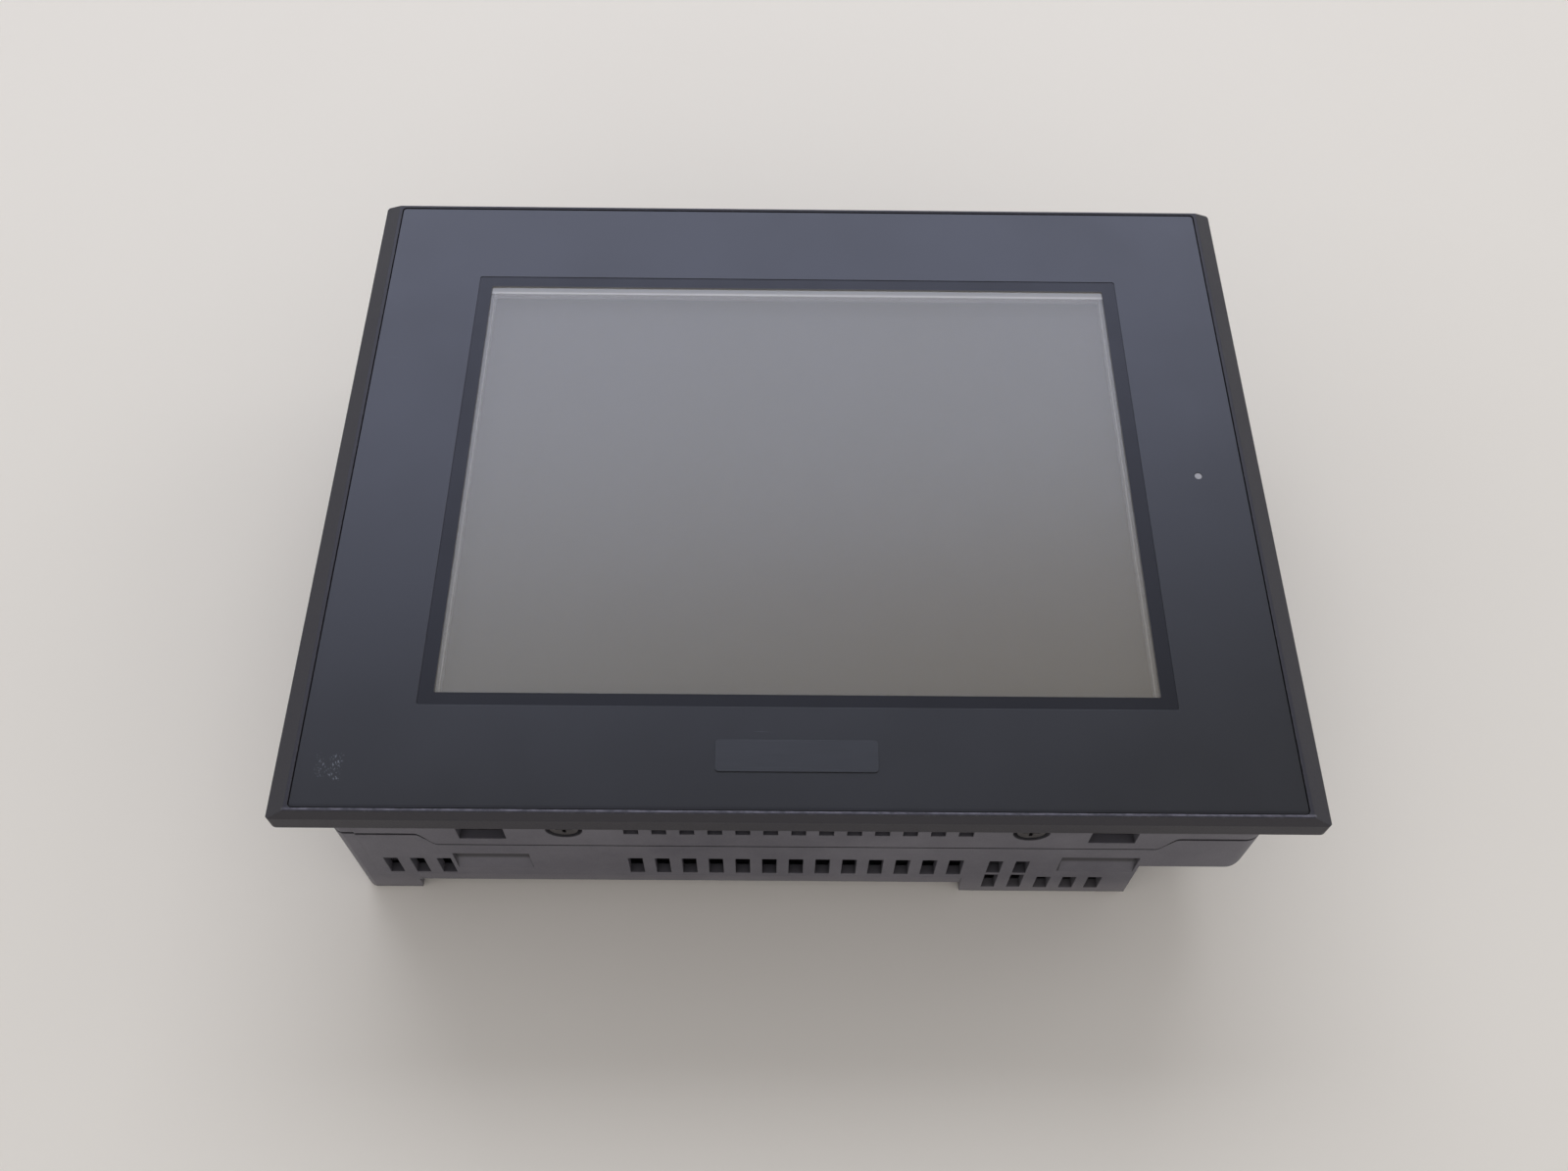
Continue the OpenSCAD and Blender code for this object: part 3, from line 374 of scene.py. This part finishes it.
def circuit_board():
    p = Mat("circuit_board")
    x, y = p.xyz()[0], p.xyz()[1]
    mask = p.noise(60, 3)
    base = p.mix(mask, lin(16, 78, 44), lin(22, 92, 54))
    tr = p.voronoi(420, feature="DISTANCE_TO_EDGE", rand=0.35)
    base = p.mix(p.rng(tr, 0.05, 0.02, 0.0, 0.6), base, lin(40, 124, 74))
    pad = p.rng(p.voronoi(520, rand=0.6), 0.2, 0.14)
    base = p.mix(p.math("MULTIPLY", pad, 0.8), base, lin(190, 186, 170))
    p.set(Base_Color=base, Roughness=p.rng(mask, 0.3, 0.7, 0.28, 0.4), Normal=p.bump(tr, 0.1, 0.00004))
    return p.m


def screw_steel(name, a=(150, 149, 150), b=(176, 175, 172), rough=0.34):
    p = Mat(name)
    n = p.noise(260, 4, 0.6)
    rust = p.rng(p.noise(420, 4, 0.65), 0.6, 0.74)
    base = p.mix(p.rng(n, 0.3, 0.7), lin(*a), lin(*b))
    base = p.mix(p.math("MULTIPLY", rust, 0.35), base, lin(96, 82, 70))
    p.set(Base_Color=base, Metallic=0.9, Roughness=p.rng(n, 0.25, 0.75, rough - 0.06, rough + 0.12),
          Normal=p.bump(p.noise(1500, 2), 0.12, 0.00004, p.bevel(0.00015, 4)))
    return p.m


def transformer():
    p = Mat("transformer")
    z = p.xyz()[2]
    wrap = p.smooth(z, 0.0245, 0.0247)
    n = p.noise(70, 4)
    tape = p.mix(n, lin(206, 168, 44), lin(222, 186, 66))
    core = p.mix(n, lin(44, 44, 46), lin(58, 58, 60))
    p.set(Base_Color=p.mix(wrap, core, tape), Roughness=p.rng(n, 0.3, 0.7, 0.36, 0.5), Normal=p.bump(p.noise(900, 2), 0.2, 0.00006))
    return p.m


def label_silver():
    p = Mat("label_silver")
    n = p.noise(1, 3, 0.6, p.mapped((60, 2400, 2400)))
    base = p.mix(n, lin(168, 169, 172), lin(188, 189, 191))
    smear = p.rng(p.noise(60, 4), 0.5, 0.75)
    base = p.mix(p.math("MULTIPLY", smear, 0.3), base, lin(140, 137, 132))
    p.set(Base_Color=base, Metallic=0.35, Roughness=p.rng(n, 0.3, 0.7, 0.3, 0.45), Normal=p.bump(n, 0.1, 0.00003))
    return p.m


def display_glass():
    p = Mat("display_glass")
    n = p.noise(18, 3, 0.5)
    base = p.mix(n, lin(120, 117, 109), lin(127, 124, 115))
    cell = p.noise(5200, 1)
    p.set(Base_Color=base, Roughness=p.rng(n, 0.3, 0.7, 0.36, 0.44), Normal=p.bump(cell, 0.06, 0.00003))
    return p.m


def display_metal():
    """Bright pressed frame; the upper inner edge carries a painted highlight line."""
    p = Mat("display_metal")
    n = p.noise(1, 3, 0.6, p.mapped((90, 2600, 2600)))
    base = p.mix(n, lin(190, 191, 193), lin(206, 206, 207))
    x, y, z = p.xyz()
    dx = p.math("ABSOLUTE", p.math("ADD", x, 0.00035))
    dy = p.math("ABSOLUTE", p.math("ADD", y, 0.00025))
    near = p.math("MAXIMUM", p.math("SUBTRACT", dx, 0.0757), p.math("SUBTRACT", dy, 0.0564))
    # painted highlight along the upper inner edge
    edge = p.math("MULTIPLY", p.rng(near, 0.00018, 0.0003, 1.0, 0.0), p.rng(z, 0.0573, 0.0575))
    base = p.mix(edge, base, lin(252, 252, 250))
    p.set(Base_Color=base, Metallic=0.0, Roughness=p.rng(n, 0.3, 0.7, 0.24, 0.34), Normal=p.bump(n, 0.1, 0.00003, p.bevel(0.0002)))
    return p.m


M = {
    "case_plastic": case_plastic("case_plastic", recess=True),
    "bezel_plastic": case_plastic("bezel_plastic", 0.0538),
    "gasket_rubber": plain("gasket_rubber", lin(26, 26, 28), lin(38, 38, 40), 0.72, 90, 0.25, 1600, spec=0.3, dust=0.2),
    "front_sheet": front_sheet(),
    "badge": badge(),
    "black_rim": black_rim(),
    "touch_film": touch_film(),
    "light_tape": plain("light_tape", lin(190, 190, 188), lin(210, 210, 208), 0.6),
    "touch_glass": clear_sheet("touch_glass", lin(200, 214, 208), 0.08, above=0.0585),
    "amber_flex": plain("amber_flex", lin(176, 108, 40), lin(196, 128, 52), 0.34, 90, 0.08, spec=0.5),
    "light_pipe": plain("light_pipe", lin(146, 146, 152), lin(160, 160, 166), 0.26, 300, 0.03, spec=0.5),
    "circuit_board": circuit_board(),
    "display_metal": display_metal(),
    "display_glass": display_glass(),
    "white_sheet": plain("white_sheet", lin(226, 226, 224), lin(238, 238, 236), 0.5, 30, 0.03),
    "acrylic": plain("acrylic", lin(206, 214, 216), lin(220, 226, 228), 0.18, 40, 0.02),
    "lamp_glass": plain("lamp_glass", lin(236, 236, 228), lin(246, 246, 240), 0.14, 60, 0.01),
    "wire_insulation": plain("wire_insulation", lin(214, 116, 132), lin(226, 132, 146), 0.42, 90, 0.06),
    "ribbon_film": brushed("ribbon_film", lin(206, 200, 184), lin(226, 222, 208), 0.4, 2, 0.0),
    "chassis_steel": brushed("chassis_steel", lin(168, 170, 172), lin(196, 197, 198), 0.36, 0, 0.85),
    "screw_steel": screw_steel("screw_steel"),
    "dark_screw": screw_steel("dark_screw", (62, 61, 64), (92, 90, 92), 0.42),
    "chip_black": plain("chip_black", lin(24, 24, 26), lin(36, 36, 38), 0.5, 120, 0.12, 2200, spec=0.4),
    "aluminium": brushed("aluminium", lin(186, 187, 190), lin(208, 209, 212), 0.34, 1, 0.9),
    "cell_steel": screw_steel("cell_steel", (176, 176, 174), (200, 200, 198), 0.26),
    "brass": screw_steel("brass", (188, 152, 84), (212, 178, 104), 0.28),
    "transformer": transformer(),
    "capacitor_sleeve": plain("capacitor_sleeve", lin(26, 38, 84), lin(34, 48, 98), 0.34, 50, 0.05),
    "cream_plastic": plain("cream_plastic", lin(222, 214, 192), lin(232, 226, 208), 0.44, 70, 0.06),
    "label_silver": label_silver(),
    "terminal_black": plain("terminal_black", lin(30, 30, 32), lin(42, 42, 44), 0.46, 90, 0.14, 1900, dust=0.25),
    "clear_cover": clear_sheet("clear_cover", lin(196, 206, 212), 0.34, 0.12),
    "connector_metal": brushed("connector_metal", lin(178, 179, 180), lin(206, 206, 205), 0.3, 1, 0.9),
    "switch_red": plain("switch_red", lin(150, 30, 28), lin(172, 42, 38), 0.4, 120, 0.08),
    "slider_white": plain("slider_white", lin(228, 226, 220), lin(240, 238, 234), 0.4, 200, 0.05),
    "gold": screw_steel("gold", (206, 168, 84), (226, 192, 110), 0.24),
}

slots = {}
for part in frame["record"]["subparts"]:
    for key in ("node", "name", "id"):
        if part.get(key) in frame["nodes"]:
            slots[part[key]] = part["material_slot"]
special = {"front_bezel": "bezel_plastic", "side_screws": "dark_screw"}
for name, o in frame["nodes"].items():
    key = special.get(name) or slots.get(name)
    mat = M[key]
    if not o.data.materials:
        o.data.materials.append(mat)
    for i in range(len(o.data.materials)):
        o.data.materials[i] = mat

# ---------------------------------------------------------------- floor and light

floor_mesh = bpy.data.meshes.new("floor")
bm = bmesh.new()
bmesh.ops.create_grid(bm, x_segments=4, y_segments=4, size=6.0)
bm.to_mesh(floor_mesh)
bm.free()
floor = bpy.data.objects.new("floor", floor_mesh)
floor.location = (0, 0, -0.00002)
scene.collection.objects.link(floor)
fm = Mat("floor")
fn = fm.noise(5, 3, 0.5)
fm.set(Base_Color=fm.mix(fn, (0.845, 0.815, 0.785, 1), (0.885, 0.86, 0.83, 1)), Roughness=0.62,
       Normal=fm.bump(fm.noise(300, 3), 0.04, 0.0002))
fm.b.inputs["Specular IOR Level"].default_value = 0.3
floor.data.materials.append(fm.m)

world = bpy.data.worlds.new("world")
scene.world = world
world.use_nodes = True
bg = world.node_tree.nodes["Background"]
wt = world.node_tree
# dimmer overhead and behind, brighter towards the horizon and on the viewer's side, and warmer there; the light from
# above comes from the softboxes
wc = wt.nodes.new("ShaderNodeTexCoord")
ws = wt.nodes.new("ShaderNodeSeparateXYZ")
wt.links.new(wc.outputs["Generated"], ws.inputs[0])


def wmap(value, a, b, c, d):
    n = wt.nodes.new("ShaderNodeMapRange")
    n.interpolation_type = "SMOOTHSTEP"
    wt.links.new(value, n.inputs[0])
    for k, x in enumerate((a, b, c, d)):
        n.inputs[1 + k].default_value = x
    return n.outputs[0]


up = wmap(ws.outputs[2], 0.0, 0.95, 1.0, 0.33)
back = wmap(ws.outputs[1], -0.7, 0.7, 1.2, 0.96)
mul = wt.nodes.new("ShaderNodeMath")
mul.operation = "MULTIPLY"
wt.links.new(up, mul.inputs[0])
wt.links.new(back, mul.inputs[1])
wt.links.new(mul.outputs[0], bg.inputs[1])
tint = wt.nodes.new("ShaderNodeMix")
tint.data_type = "RGBA"
wt.links.new(wmap(ws.outputs[1], -0.7, 0.7, 0.0, 1.0), tint.inputs[0])
tint.inputs[6].default_value = (1.0, 0.955, 0.91, 1)
tint.inputs[7].default_value = (0.99, 0.99, 0.985, 1)
wt.links.new(tint.outputs[2], bg.inputs[0])


def softbox(name, loc, target, sx, sy, radiance, colour):
    d = bpy.data.lights.new(name, "AREA")
    d.shape = "RECTANGLE"
    d.size, d.size_y = sx, sy
    d.energy = radiance * sx * sy * math.pi
    d.color = colour
    o = bpy.data.objects.new(name, d)
    o.location = loc
    o.rotation_euler = (Vector(target) - Vector(loc)).to_track_quat("-Z", "Y").to_euler()
    o.visible_camera = False
    scene.collection.objects.link(o)
    return o


key = softbox("softbox_back", (-0.1, 2.0, 2.1), (0, 0.3, 0), 3.2, 1.6, 2.1, (0.98, 0.985, 0.99))
key.visible_glossy = False
side = softbox("softbox_right", (1.9, 0.9, 1.3), (0, 0, 0), 1.0, 1.0, 0.7, (1.0, 0.97, 0.93))
# a cool window, seen only as the sheen on the glossy faces
sheen = softbox("window_sheen", (-0.2, 1.62, 1.62), (0, 0, 0), 2.8, 1.2, 2.8, (0.64, 0.70, 1.0))
sheen.visible_diffuse = False
